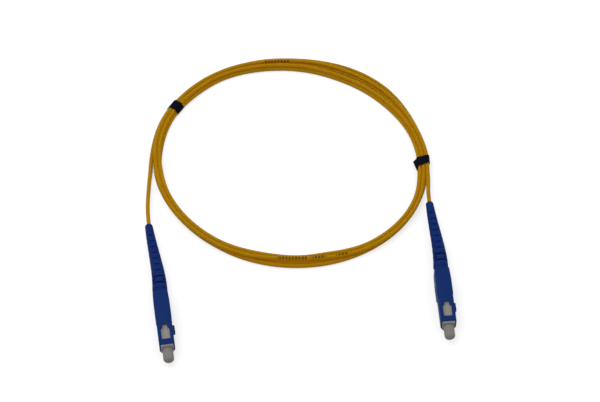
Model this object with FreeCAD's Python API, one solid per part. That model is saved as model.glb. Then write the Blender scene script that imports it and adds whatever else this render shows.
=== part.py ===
import FreeCAD, Part
import math
import os

V = FreeCAD.Vector
UP = V(0, 0, 1)
AXIS = V(0, 1, 0)

# Sizes are in millimetres. Each connector is drawn along +Y, from the face of its nose at y = 0
# towards the cable, with its axis at x = z = 0, its key on +X and its two windows on +Z and -Z.

# Cable, and the fibre that is stripped bare at each end of it
CABLE_DIAMETER = 2.0
FIBRE_DIAMETER = 0.9

# Room per side between pieces that slide, and between pieces that are pushed home
RUNNING_CLEARANCE = 0.06
SEAT_CLEARANCE = 0.02

# Travels
GRIP_TRAVEL = 2.0
FERRULE_TRAVEL = 1.0
END_CLEARANCE = 0.5

# Coupling housing that the fingers hold: a nose with cut lower corners, and a wider grip
NOSE_WIDTH = 7.4
NOSE_HEIGHT = 9.0
NOSE_LENGTH = 15.0
NOSE_WALL = 0.6
NOSE_CORNER = 0.9
NOSE_CUT_WIDTH = 1.4
NOSE_CUT_HEIGHT = 2.6
SHOULDER_LENGTH = 0.5
GRIP_PROUD = 0.2
GRIP_LENGTH = 15.0
GRIP_CORNER = 1.3
GRIP_TAPER_LENGTH = 6.2
GRIP_TAPER_DEPTH = 0.25
GRIP_GROOVES = 5
GRIP_GROOVE_WIDTH = 0.55
GRIP_GROOVE_PITCH = 1.1
GRIP_GROOVE_DEPTH = 0.25
GRIP_GROOVE_HEIGHT = 6.4
GRIP_GROOVE_START = 0.9
CAVITY_CORNER = 0.5

# T-shaped window in the top and bottom of the nose
WINDOW_FRONT = 2.85
WINDOW_WIDTH = 4.1
WINDOW_LENGTH = 5.7
WINDOW_SHOULDER_LENGTH = 0.6
WINDOW_NECK_WIDTH = 2.4
WINDOW_NECK_LENGTH = 1.9

# Key on the side of the nose
KEY_FRONT = 7.0
KEY_LENGTH = 5.0
KEY_HEIGHT = 2.0
KEY_PROUD = 1.0
KEY_LEAD = 0.6

# Plug frame inside the coupling housing
FRAME_PROUD = 0.5
FRAME_LENGTH = 19.5
FRAME_CORNER = 0.45
FRAME_LEAD = 0.3
FRAME_LEDGE = 0.65
FRAME_POCKET_DEPTH = 0.5
FRAME_POCKET_INSET = 0.45
SLEEVE_BORE = 5.4
SLEEVE_DEPTH = 5.5
SEAT_WALL = 0.6
FERRULE_HOLE_ROOM = 0.2
SPRING_BORE = 5.2

# Ferrule and its flange
FERRULE_DIAMETER = 2.5
FERRULE_EXPOSED = 7.6
FERRULE_SEATED = 2.9
FERRULE_TIP_DIAMETER = 1.5
FERRULE_TIP_LENGTH = 0.5
FLANGE_ACROSS_FLATS = 4.3
FLANGE_LENGTH = 4.0
FLANGE_TAIL_DIAMETER = 2.3
FLANGE_TAIL_LENGTH = 5.0
FIBRE_ROOM = 0.15

# Ferrule spring
SPRING_DIAMETER = 4.6
SPRING_WIRE = 0.45
SPRING_LENGTH = 6.4
SPRING_TURNS = 4

# Stop ring that closes the frame, with the barrel that the cable is crimped on
STOP_COLLAR_DIAMETER = 5.8
STOP_COLLAR_LENGTH = 1.2
BARREL_DIAMETER = 3.6
BARREL_LENGTH = 7.8

# Crimp ring on the barrel
CRIMP_DIAMETER = 4.7

# Boot
BOOT_INSERT = 6.0
BOOT_BASE_DIAMETER = 6.7
BOOT_BASE_LENGTH = 6.0
BOOT_NECK_DIAMETER = 6.7
BOOT_TIP_DIAMETER = 3.75
BOOT_LENGTH = 41.0
BOOT_TIP_EDGE = 0.6
BOOT_SLOTS = 17
BOOT_SLOT_PITCH = 1.75
BOOT_SLOT_WIDTH = 0.85
BOOT_SLOT_SHARE = 0.62
BOOT_WIDE_SLOTS = 3
BOOT_WIDE_SLOT_SHARE = 0.86
BOOT_SLEEVE_WALL = 0.45

# Dust cap
CAP_DIAMETER = 5.1
CAP_REACH = 7.7
CAP_INSERT = 3.6
CAP_ROUND = 1.3
CAP_MOUTH = 0.3
CAP_TIP_ROOM = 0.4

# Where each connector lies: the middle of its nose face on the floor, and its turn about Z
LEFT_NOSE = (-62.68, -37.87)
LEFT_TURN = 8.6
RIGHT_NOSE = (70.97, -25.22)
RIGHT_TURN = 4.3

# Coil: an uneven ring between two ovals, with its mean widths on its long and short axes
COIL_OUTER_CENTRE = (-4.78, 74.28)
COIL_INNER_CENTRE = (-5.48, 72.98)
COIL_INNER_LONG = 65.5
COIL_INNER_SHORT = 56.7
COIL_LONG_WIDTH = 5.0
COIL_SHORT_WIDTH = 8.0
COIL_TURN = 165.5
COIL_HEIGHT = 4.0
COIL_EDGE = 1.2

# Tape bands round the coil, by their bearing from the middle of its hole
LEFT_BAND_BEARING = 151.5
RIGHT_BAND_BEARING = 359.0
BAND_LENGTH = 5.3
BAND_THICKNESS = 0.35
BAND_PINCH = 0.1
BAND_CORNER = 1.0

# Free stretches of cable, from a point on each boot's axis outside its tip to inside the coil
LEFT_LEAD_OUT = 6.0
LEFT_ROUTE = [(-76.28, 55.48, 1.9), (-73.28, 75.08, 2.0)]
RIGHT_LEAD_OUT = 5.0
RIGHT_ROUTE = [(64.32, 60.48, 2.4), (63.52, 71.48, 2.0)]
ARC_SHARE = 0.45

# Places on a solid that are nearer to each other than this count as one
SAME_PLACE = 0.001

# Worked out from the sizes above
GRIP_WIDTH = NOSE_WIDTH + 2 * GRIP_PROUD
GRIP_HEIGHT = NOSE_HEIGHT + 2 * GRIP_PROUD
GRIP_REAR = NOSE_LENGTH + GRIP_LENGTH
AXIS_HEIGHT = GRIP_HEIGHT / 2
WINDOW_REAR = WINDOW_FRONT + WINDOW_LENGTH + WINDOW_SHOULDER_LENGTH + WINDOW_NECK_LENGTH
FRAME_INSET = NOSE_WALL + RUNNING_CLEARANCE
FRAME_HEIGHT = NOSE_HEIGHT - 2 * FRAME_INSET
FRAME_REAR = FRAME_LENGTH - FRAME_PROUD
SLEEVE_FLOOR = SLEEVE_DEPTH - FRAME_PROUD
FLANGE_FRONT = SLEEVE_FLOOR + SEAT_WALL
FERRULE_TIP = FLANGE_FRONT - FERRULE_EXPOSED
FERRULE_REAR = FLANGE_FRONT + FERRULE_SEATED
FLANGE_REAR = FLANGE_FRONT + FLANGE_LENGTH
TAIL_REAR = FLANGE_REAR + FLANGE_TAIL_LENGTH
STOP_FRONT = FLANGE_REAR + SPRING_LENGTH
COLLAR_REAR = FRAME_REAR + STOP_COLLAR_LENGTH
BARREL_REAR = COLLAR_REAR + BARREL_LENGTH
FIBRE_BORE = FIBRE_DIAMETER + 2 * FIBRE_ROOM
FIBRE_FRONT = FERRULE_REAR + FERRULE_TRAVEL + END_CLEARANCE
BOOT_FRONT = GRIP_REAR - BOOT_INSERT
BOOT_NECK = GRIP_REAR + BOOT_BASE_LENGTH
BOOT_TIP = GRIP_REAR + BOOT_LENGTH
BOOT_SOCKET = BOOT_BASE_DIAMETER + 2 * RUNNING_CLEARANCE
BOOT_SOCKET_FRONT = BOOT_FRONT - GRIP_TRAVEL - END_CLEARANCE
CABLE_BORE = CABLE_DIAMETER + 2 * SEAT_CLEARANCE
COIL_OUTER_LONG = COIL_INNER_LONG + COIL_LONG_WIDTH
COIL_OUTER_SHORT = COIL_INNER_SHORT + COIL_SHORT_WIDTH


def round_corners(width, height, corner, y):
    """Four corner arcs of a rectangle that is square to the axis at y."""
    arcs = []
    for quarter, (side, level) in enumerate(((1, 1), (-1, 1), (-1, -1), (1, -1))):
        middle = V(side * (width / 2 - corner), y, level * (height / 2 - corner))
        bearings = [math.radians(90 * quarter + step) for step in (0, 45, 90)]
        points = [middle + V(math.cos(b), 0, math.sin(b)) * corner for b in bearings]
        arcs.append(Part.Arc(*points).toShape())
    return arcs


def outline(corners):
    """Closed outline of corner pieces in order, with straight sides between them."""
    edges = []
    for corner, following in zip(corners, corners[1:] + corners[:1]):
        edges.append(corner)
        edges.append(Part.makeLine(corner.Vertexes[-1].Point, following.Vertexes[0].Point))
    return Part.Wire(edges)


def rounded_wire(width, height, corner, y):
    """Rectangle with round corners, square to the axis at y."""
    return outline(round_corners(width, height, corner, y))


def nose_wire(inset, corner, y):
    """Outline of the nose moved inwards: round upper corners, and lower ones cut off at a slant."""
    width = NOSE_WIDTH - 2 * inset
    height = NOSE_HEIGHT - 2 * inset
    loss = inset * (NOSE_CUT_WIDTH + NOSE_CUT_HEIGHT - math.hypot(NOSE_CUT_WIDTH, NOSE_CUT_HEIGHT))
    foot = width / 2 - NOSE_CUT_WIDTH + loss / NOSE_CUT_HEIGHT
    flank = NOSE_CUT_HEIGHT - loss / NOSE_CUT_WIDTH - height / 2
    upper = round_corners(width, height, corner, y)[:2]
    left = Part.makeLine(V(-width / 2, y, flank), V(-foot, y, -height / 2))
    right = Part.makeLine(V(foot, y, -height / 2), V(width / 2, y, flank))
    return outline(upper + [left, right])


def bar(wire, length):
    """Bar along the axis from an outline square to it."""
    return Part.Face(wire).extrude(AXIS * length)


def block(width, height, front, rear, x=0, z=0):
    """Square block along the axis, centred on x and z."""
    corner = V(x - width / 2, front, z - height / 2)
    return Part.makeBox(width, rear - front, height, corner)


def upright(corners, height):
    """Prism of (x, y) corners, half of its height above the axis and half below."""
    points = [V(x, y, -height / 2) for x, y in corners]
    return Part.Face(Part.makePolygon(points + points[:1])).extrude(UP * height)


def rod(diameter, front, rear):
    """Cylinder on the axis."""
    return Part.makeCylinder(diameter / 2, rear - front, V(0, front, 0), AXIS)


def turned(corners):
    """Solid turned about the axis from (y, diameter) corners."""
    points = [V(diameter / 2, y, 0) for y, diameter in corners]
    face = Part.Face(Part.makePolygon(points + points[:1]))
    return face.revolve(V(0, 0, 0), AXIS, 360)


def rims(solid, y, diameter):
    """Circular edges of a turned solid at y with the given diameter."""
    found = []
    for edge in solid.Edges:
        box = edge.BoundBox
        flat = abs(box.YMin - y) < SAME_PLACE and abs(box.YMax - y) < SAME_PLACE
        if flat and abs(box.ZMax - box.ZMin - diameter) < SAME_PLACE:
            found.append(edge)
    return found


def make_grip():
    """Coupling housing with its cavity, windows, key and finger grooves."""
    taper_front = GRIP_REAR - GRIP_TAPER_LENGTH
    end_width = GRIP_WIDTH - 2 * GRIP_TAPER_DEPTH
    end_height = GRIP_HEIGHT - 2 * GRIP_TAPER_DEPTH
    body = bar(nose_wire(0, NOSE_CORNER, 0), NOSE_LENGTH)
    full = [rounded_wire(GRIP_WIDTH, GRIP_HEIGHT, GRIP_CORNER, y)
            for y in (NOSE_LENGTH + SHOULDER_LENGTH, taper_front)]
    shoulder = nose_wire(0, NOSE_CORNER, NOSE_LENGTH)
    end = rounded_wire(end_width, end_height, GRIP_CORNER, GRIP_REAR)
    for first, second in zip([shoulder] + full, full + [end]):
        body = body.fuse(Part.makeLoft([first, second], True, True))

    for side in (-1, 1):
        for index in range(GRIP_GROOVES):
            front = NOSE_LENGTH + GRIP_GROOVE_START + index * GRIP_GROOVE_PITCH
            groove = block(2 * GRIP_GROOVE_DEPTH, GRIP_GROOVE_HEIGHT, front,
                           front + GRIP_GROOVE_WIDTH, x=side * GRIP_WIDTH / 2)
            body = body.cut(groove)

    root = NOSE_WIDTH / 2 - NOSE_WALL / 2
    crest = NOSE_WIDTH / 2 + KEY_PROUD
    key_rear = KEY_FRONT + KEY_LENGTH
    key_side = [
        (root, KEY_FRONT), (crest, KEY_FRONT + KEY_LEAD),
        (crest, key_rear - KEY_LEAD), (root, key_rear),
    ]
    body = body.fuse(upright(key_side, KEY_HEIGHT))

    body = body.cut(bar(nose_wire(NOSE_WALL, CAVITY_CORNER, 0), BOOT_SOCKET_FRONT))
    body = body.cut(rod(BOOT_SOCKET, BOOT_SOCKET_FRONT, GRIP_REAR))
    shoulder_front = WINDOW_FRONT + WINDOW_LENGTH
    neck_front = shoulder_front + WINDOW_SHOULDER_LENGTH
    window_right = [
        (WINDOW_WIDTH / 2, WINDOW_FRONT), (WINDOW_WIDTH / 2, shoulder_front),
        (WINDOW_NECK_WIDTH / 2, neck_front), (WINDOW_NECK_WIDTH / 2, WINDOW_REAR),
    ]
    window_left = [(-x, y) for x, y in reversed(window_right)]
    window = upright(window_right + window_left, 2 * NOSE_HEIGHT)
    return body.cut(window).removeSplitter()


def make_plug_frame():
    """Inner frame: open sleeve at the front, seat wall, spring bore, and a latch pocket each side."""
    lead_rear = FRAME_LEAD - FRAME_PROUD
    lip = nose_wire(FRAME_INSET + FRAME_LEAD, FRAME_CORNER, -FRAME_PROUD)
    full = nose_wire(FRAME_INSET, FRAME_CORNER, lead_rear)
    body = bar(full, FRAME_REAR - lead_rear).fuse(Part.makeLoft([lip, full], True, True))
    pocket_front = WINDOW_FRONT + FRAME_LEDGE
    for level in (-1, 1):
        pocket = block(WINDOW_WIDTH - 2 * FRAME_POCKET_INSET, 2 * FRAME_POCKET_DEPTH,
                       pocket_front, WINDOW_REAR + GRIP_TRAVEL, z=level * FRAME_HEIGHT / 2)
        body = body.cut(pocket)
    body = body.cut(rod(SLEEVE_BORE, -FRAME_PROUD, SLEEVE_FLOOR))
    body = body.cut(rod(FERRULE_DIAMETER + 2 * FERRULE_HOLE_ROOM, SLEEVE_FLOOR, FLANGE_FRONT))
    return body.cut(rod(SPRING_BORE, FLANGE_FRONT, FRAME_REAR)).removeSplitter()


def make_ferrule():
    """Ceramic ferrule with a tapered tip."""
    return turned([
        (FERRULE_TIP, 0),
        (FERRULE_TIP, FERRULE_TIP_DIAMETER),
        (FERRULE_TIP + FERRULE_TIP_LENGTH, FERRULE_DIAMETER),
        (FERRULE_REAR, FERRULE_DIAMETER),
        (FERRULE_REAR, 0),
    ])


def make_ferrule_flange():
    """Six-sided flange pressed on the ferrule, with its tail tube."""
    radius = FLANGE_ACROSS_FLATS / 2 / math.cos(math.radians(30))
    bearings = [math.radians(60 * side) for side in range(6)]
    points = [V(radius * math.cos(b), FLANGE_FRONT, radius * math.sin(b)) for b in bearings]
    collar = Part.Face(Part.makePolygon(points + points[:1])).extrude(AXIS * FLANGE_LENGTH)
    body = collar.fuse(rod(FLANGE_TAIL_DIAMETER, FLANGE_REAR, TAIL_REAR))
    body = body.cut(rod(FERRULE_DIAMETER + 2 * SEAT_CLEARANCE, FLANGE_FRONT, FERRULE_REAR))
    return body.cut(rod(FIBRE_BORE, FERRULE_REAR, TAIL_REAR))


def make_spring():
    """Spring between the flange and the stop ring: tilted half turns of square wire."""
    middle = (SPRING_DIAMETER - SPRING_WIRE) / 2
    diagonal = SPRING_WIRE * math.sqrt(2)
    start = FLANGE_REAR + diagonal / 2
    step = (SPRING_LENGTH - diagonal) / SPRING_TURNS / 2
    crown = math.hypot(middle, step / 2)
    edges = []
    for half in range(2 * SPRING_TURNS):
        side = 1 if half % 2 == 0 else -1
        y = start + half * step
        first = V(side * middle, y, 0)
        top = V(0, y + step / 2, side * crown)
        last = V(-side * middle, y + step, 0)
        edges.append(Part.Arc(first, top, last).toShape())
    corner = V(middle - SPRING_WIRE / 2, start - SPRING_WIRE / 2, 0)
    section = Part.makePlane(SPRING_WIRE, SPRING_WIRE, corner)
    return Part.Wire(edges).makePipe(section)


def make_stop_ring():
    """Ring that closes the frame, with a collar and a barrel."""
    return turned([
        (STOP_FRONT, FIBRE_BORE), (STOP_FRONT, SPRING_BORE - 2 * SEAT_CLEARANCE),
        (FRAME_REAR, SPRING_BORE - 2 * SEAT_CLEARANCE), (FRAME_REAR, STOP_COLLAR_DIAMETER),
        (COLLAR_REAR, STOP_COLLAR_DIAMETER), (COLLAR_REAR, BARREL_DIAMETER),
        (BARREL_REAR, BARREL_DIAMETER), (BARREL_REAR, FIBRE_BORE),
    ])


def make_crimp_ring():
    """Plain sleeve crimped on the barrel."""
    sleeve = rod(CRIMP_DIAMETER, COLLAR_REAR, BARREL_REAR)
    return sleeve.cut(rod(BARREL_DIAMETER + 2 * SEAT_CLEARANCE, COLLAR_REAR, BARREL_REAR))


def boot_diameter(y):
    """Outside diameter of the boot's tapered part at y."""
    share = (y - BOOT_NECK) / (BOOT_TIP - BOOT_NECK)
    return BOOT_NECK_DIAMETER + share * (BOOT_TIP_DIAMETER - BOOT_NECK_DIAMETER)


def make_boot():
    """Tapered boot with rows of slots that alternate between top and sides."""
    crimp_bore = CRIMP_DIAMETER + 2 * SEAT_CLEARANCE
    straight_rear = GRIP_REAR + GRIP_TRAVEL + END_CLEARANCE
    body = turned([
        (BOOT_FRONT, crimp_bore), (BOOT_FRONT, BOOT_BASE_DIAMETER),
        (straight_rear, BOOT_BASE_DIAMETER), (BOOT_NECK, BOOT_NECK_DIAMETER),
        (BOOT_TIP, BOOT_TIP_DIAMETER), (BOOT_TIP, CABLE_BORE),
        (BARREL_REAR, CABLE_BORE), (BARREL_REAR, crimp_bore),
    ])
    body = body.makeChamfer(BOOT_TIP_EDGE, rims(body, BOOT_TIP, BOOT_TIP_DIAMETER))
    core = CABLE_BORE / 2 + BOOT_SLEEVE_WALL
    for row in range(BOOT_SLOTS):
        front = BOOT_NECK + row * BOOT_SLOT_PITCH
        rear = front + BOOT_SLOT_WIDTH
        share = BOOT_WIDE_SLOT_SHARE if row < BOOT_WIDE_SLOTS else BOOT_SLOT_SHARE
        across = share * boot_diameter(front)
        depth = BOOT_BASE_DIAMETER / 2 - core
        offset = core + depth / 2
        for side in (-1, 1):
            if row % 2:
                slot = block(depth, across, front, rear, x=side * offset)
            else:
                slot = block(across, depth, front, rear, z=side * offset)
            body = body.cut(slot)
    return body


def make_dust_cap():
    """Blind cap on the ferrule, round at its closed end."""
    bore = FERRULE_DIAMETER + 2 * RUNNING_CLEARANCE
    floor = FERRULE_TIP - CAP_TIP_ROOM
    body = turned([
        (-CAP_REACH, 0), (-CAP_REACH, CAP_DIAMETER),
        (CAP_INSERT, CAP_DIAMETER), (CAP_INSERT, bore + 2 * CAP_MOUTH),
        (CAP_INSERT - CAP_MOUTH, bore), (floor, bore), (floor, 0),
    ])
    return body.makeFillet(CAP_ROUND, rims(body, -CAP_REACH, CAP_DIAMETER))


def place(shape, nose, turn):
    """Lay a connector piece on the floor, turned about the middle of its nose."""
    laid = shape.copy()
    laid.translate(UP * AXIS_HEIGHT)
    laid.rotate(V(0, 0, 0), UP, turn)
    laid.translate(V(nose[0], nose[1], 0))
    return laid


def cable_tube(points, side):
    """Cable along straight runs and tangent arcs, each arc as large as its runs allow."""
    edges = []
    radii = []
    start = points[0]
    for before, corner, after in zip(points, points[1:], points[2:]):
        arrive = (corner - before).normalize()
        leave = (after - corner).normalize()
        half_turn = arrive.getAngle(leave) / 2
        reach = ARC_SHARE * min((corner - before).Length, (after - corner).Length)
        radius = reach / math.tan(half_turn)
        inward = (leave - arrive).normalize()
        centre = corner + inward * (radius / math.cos(half_turn))
        first = corner - arrive * reach
        last = corner + leave * reach
        edges.append(Part.LineSegment(start, first).toShape())
        edges.append(Part.Arc(first, centre - inward * radius, last).toShape())
        radii.append(round(radius, 1))
        start = last
    edges.append(Part.LineSegment(start, points[-1]).toShape())
    path = Part.Wire(edges)
    section = Part.Face(Part.Wire(Part.makeCircle(CABLE_DIAMETER / 2, points[0], points[1] - points[0])))
    tube = path.makePipe(section)
    share = tube.Volume / (math.pi * CABLE_DIAMETER ** 2 / 4 * path.Length)
    print(side, "lead: arc radii", radii, "length", round(path.Length, 1), "volume share", round(share, 4))
    return tube


def oval(centre, long_half, short_half):
    """Outline of the coil on the floor: an oval of four tangent arcs."""
    end_radius = (short_half ** 2 / long_half + short_half) / 2
    spread = long_half ** 2 + short_half ** 2 - 2 * long_half * end_radius
    side_radius = spread / 2 / (short_half - end_radius)
    end = V(long_half - end_radius, 0, 0)
    joint = end + V(end.x, side_radius - short_half, 0) * (end_radius / (side_radius - end_radius))
    joints = [V(joint.x * x, joint.y * y, 0) for x, y in ((1, -1), (1, 1), (-1, 1), (-1, -1))]
    crowns = [V(long_half, 0, 0), V(0, short_half, 0), V(-long_half, 0, 0), V(0, -short_half, 0)]
    arcs = []
    for first, crown, last in zip(joints, crowns, joints[1:] + joints[:1]):
        arcs.append(Part.Arc(first, crown, last).toShape())
    wire = Part.Wire(arcs)
    wire.rotate(V(0, 0, 0), UP, COIL_TURN)
    wire.translate(V(centre[0], centre[1], 0))
    return wire


def oval_point(wire, bearing):
    """Point of an outline on the bearing from the middle of the coil's hole."""
    middle = V(COIL_INNER_CENTRE[0], COIL_INNER_CENTRE[1], 0)
    direction = V(math.cos(math.radians(bearing)), math.sin(math.radians(bearing)), 0)
    ray = Part.makeLine(middle, middle + direction * (2 * COIL_OUTER_LONG))
    return ray.section(wire).Vertexes[0].Point


def make_coil(outer, inner):
    """Outer shape of the coiled turns: a flat ring with bevelled upper edges."""
    ring = Part.Face(outer).cut(Part.Face(inner)).extrude(UP * COIL_HEIGHT)
    edges = [edge for edge in ring.Edges if edge.BoundBox.ZMin > COIL_HEIGHT / 2]
    return ring.makeChamfer(COIL_EDGE, edges)


def make_band(outer, inner, bearing):
    """Band of tape round the coil, square to its turns."""
    outside = oval_point(outer, bearing)
    inside = oval_point(inner, bearing)
    ahead = oval_point(outer, bearing + 1) - outside
    width = (outside - inside).Length - 2 * BAND_PINCH
    height = COIL_HEIGHT - BAND_PINCH - BAND_THICKNESS
    half = BAND_LENGTH / 2
    bundle = rounded_wire(width, height, BAND_CORNER, -half)
    around = rounded_wire(width + 2 * BAND_THICKNESS, height + 2 * BAND_THICKNESS,
                          BAND_CORNER + BAND_THICKNESS, -half)
    tape = bar(around, BAND_LENGTH).cut(bar(bundle, BAND_LENGTH))
    tape.rotate(V(0, 0, 0), UP, math.degrees(math.atan2(ahead.y, ahead.x)) - 90)
    tape.translate((outside + inside) * 0.5 + UP * (BAND_THICKNESS + height / 2))
    return tape


def export(name, shape):
    """Write one piece to its own file."""
    shape.exportStep("parts/" + name + ".step")


os.makedirs("parts", exist_ok=True)

connector = {
    "grip": make_grip(),
    "plug_frame": make_plug_frame(),
    "ferrule": make_ferrule(),
    "ferrule_flange": make_ferrule_flange(),
    "ferrule_spring": make_spring(),
    "stop_ring": make_stop_ring(),
    "crimp_ring": make_crimp_ring(),
    "boot": make_boot(),
    "dust_cap": make_dust_cap(),
}
coil_outer = oval(COIL_OUTER_CENTRE, COIL_OUTER_LONG, COIL_OUTER_SHORT)
coil_inner = oval(COIL_INNER_CENTRE, COIL_INNER_LONG, COIL_INNER_SHORT)
bands = {
    "left": make_band(coil_outer, coil_inner, LEFT_BAND_BEARING),
    "right": make_band(coil_outer, coil_inner, RIGHT_BAND_BEARING),
}
coil = make_coil(coil_outer, coil_inner)
for tape in bands.values():
    coil = coil.cut(tape)
cable_end = rod(FIBRE_DIAMETER, FIBRE_FRONT, BARREL_REAR).fuse(rod(CABLE_DIAMETER, BARREL_REAR, BOOT_TIP))

sides = {
    "left": (LEFT_NOSE, LEFT_TURN, LEFT_LEAD_OUT, LEFT_ROUTE),
    "right": (RIGHT_NOSE, RIGHT_TURN, RIGHT_LEAD_OUT, RIGHT_ROUTE),
}
for side, (nose, turn, lead_out, route) in sides.items():
    for piece, shape in connector.items():
        export(piece + "_" + side, place(shape, nose, turn))
    mouth = [Part.Vertex(0, BOOT_TIP + reach, 0) for reach in (-lead_out, lead_out)]
    points = [place(vertex, nose, turn).Point for vertex in mouth] + [V(*point) for point in route]
    lead = cable_tube(points, side).fuse(place(cable_end, nose, turn))
    export("cable_lead_" + side, lead.cut(coil).removeSplitter())
    export("tape_band_" + side, bands[side])
export("cable_coil", coil)
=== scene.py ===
"""Looks of a fibre optic patch cable: a coiled yellow cord with a blue push-pull connector on each end."""

import logging
import math
from dataclasses import dataclass, field
from enum import Enum
from typing import Callable, ClassVar, Sequence

import bmesh
import bpy
from mathutils import Matrix, Vector


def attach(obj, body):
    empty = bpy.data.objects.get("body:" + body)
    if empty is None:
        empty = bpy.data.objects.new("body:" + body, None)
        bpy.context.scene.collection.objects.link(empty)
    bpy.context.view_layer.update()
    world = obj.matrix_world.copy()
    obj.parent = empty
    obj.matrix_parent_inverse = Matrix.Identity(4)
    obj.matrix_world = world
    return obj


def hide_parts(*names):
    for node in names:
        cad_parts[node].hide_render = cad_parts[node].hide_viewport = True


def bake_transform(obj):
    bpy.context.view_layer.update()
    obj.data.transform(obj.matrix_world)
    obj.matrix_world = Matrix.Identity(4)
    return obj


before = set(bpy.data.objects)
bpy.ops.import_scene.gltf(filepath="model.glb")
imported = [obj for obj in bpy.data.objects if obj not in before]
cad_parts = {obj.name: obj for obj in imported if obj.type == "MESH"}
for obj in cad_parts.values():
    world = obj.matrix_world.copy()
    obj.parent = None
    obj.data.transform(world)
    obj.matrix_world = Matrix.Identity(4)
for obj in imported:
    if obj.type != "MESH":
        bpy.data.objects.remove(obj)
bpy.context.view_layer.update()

MM = 0.001
WHITE = (1.0, 1.0, 1.0, 1.0)
LOG = logging.getLogger("patch_cable")

# Length of the cord between the boots, in mm
CORD_LENGTH = 1900.0

# How far a cutter reaches past a face that it opens, and into the cutter next to it, in mm
OVERSHOOT = 1.0
LAP = 0.1

# Ways on a connector, whose plug end is its front
FORWARD = (0, -1, 0)
REARWARD = (0, 1, 0)
OUTWARD = (1, 0, 0)

Colour = tuple[float, float, float]
Point = tuple[float, float, float]
Span = tuple[float, float]
Profile = tuple[Span, ...]
Tree = bpy.types.NodeTree
Socket = bpy.types.NodeSocket
FacePick = Callable[[bmesh.types.BMFace], bool]
EdgePick = Callable[[bmesh.types.BMEdge], bool]


class Side(Enum):
    """The two ends of the patch cable."""

    LEFT = "left"
    RIGHT = "right"


@dataclass(frozen=True)
class Placement:
    """Where a connector lies: the middle of its nose face. Sizes in mm, the turn about Z in degrees."""

    nose_x: float
    nose_y: float
    turn: float
    axis_height: float = 4.7

    def matrix(self) -> Matrix:
        """Transform from the connector's own millimetres to the row frame in metres."""
        shift = Matrix.Translation(Vector((self.nose_x, self.nose_y, self.axis_height)) * MM)
        return shift @ Matrix.Rotation(math.radians(self.turn), 4, "Z") @ Matrix.Scale(MM, 4)

    def on_line(self, along: float) -> Point:
        """Point of the connector's middle line that far behind its nose face, in metres."""
        return tuple(self.matrix() @ Vector((BOOT_LINE.aside(along), along, 0)))


@dataclass(frozen=True)
class BootLine:
    """Middle line of a connector, which bends to one side in the soft boot. Sizes in mm."""

    start: float = 32.05
    tip: float = 71.0
    bend: tuple[float, ...] = (0.1024, -0.009223, 0.0001981, -1.302e-06)

    def aside(self, along: float) -> float:
        """Sideways offset of the line that far behind the nose face."""
        reach = max(0.0, along - self.start)
        return sum(rate * reach ** (power + 1) for power, rate in enumerate(self.bend))


PLACEMENTS = {
    Side.LEFT: Placement(-62.68, -37.87, 8.6),
    Side.RIGHT: Placement(70.97, -25.22, 4.3),
}
BOOT_LINE = BootLine()
BAND_BEARINGS = {Side.LEFT: 151.0, Side.RIGHT: 358.4}


def ease(share: float) -> float:
    """Turn a share of a way into one that starts and ends gently."""
    return share * share * (3 - 2 * share)


# Node helpers


def reckon(tree: Tree, operation: str, first: Socket, second: float | Socket = 0.0) -> Socket:
    """Work out one sum.

    Args:
        tree: the node tree to add to.
        operation: name of the sum.
        first: the socket that it starts from.
        second: the number or the socket on its other side.

    Returns:
        The socket with the result.
    """
    node = tree.nodes.new("ShaderNodeMath")
    node.operation = operation
    tree.links.new(first, node.inputs[0])
    if isinstance(second, (int, float)):
        node.inputs[1].default_value = second
    else:
        tree.links.new(second, node.inputs[1])
    return node.outputs[0]


def spread(tree: Tree, value: Socket, to: Span, known: Span = (0.0, 1.0)) -> Socket:
    """Map one range of values to another.

    Args:
        tree: the node tree to add to.
        value: the socket with the value.
        to: what the ends of the range become.
        known: the ends of the range.

    Returns:
        The socket with the mapped value.
    """
    node = tree.nodes.new("ShaderNodeMapRange")
    for name, end in zip(("From Min", "From Max", "To Min", "To Max"), (*known, *to)):
        node.inputs[name].default_value = end
    tree.links.new(value, node.inputs["Value"])
    return node.outputs["Result"]


def openness(tree: Tree, reach: float, own: bool = False) -> Socket:
    """How open a place is, from 0 deep in a gap to 1 in the open.

    Args:
        tree: the node tree to add to.
        reach: how far away a neighbour still counts, in metres.
        own: whether only the piece itself counts.

    Returns:
        The socket with the openness.
    """
    node = tree.nodes.new("ShaderNodeAmbientOcclusion")
    node.only_local = own
    node.inputs["Distance"].default_value = reach
    return node.outputs["AO"]


# Finishes


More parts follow.
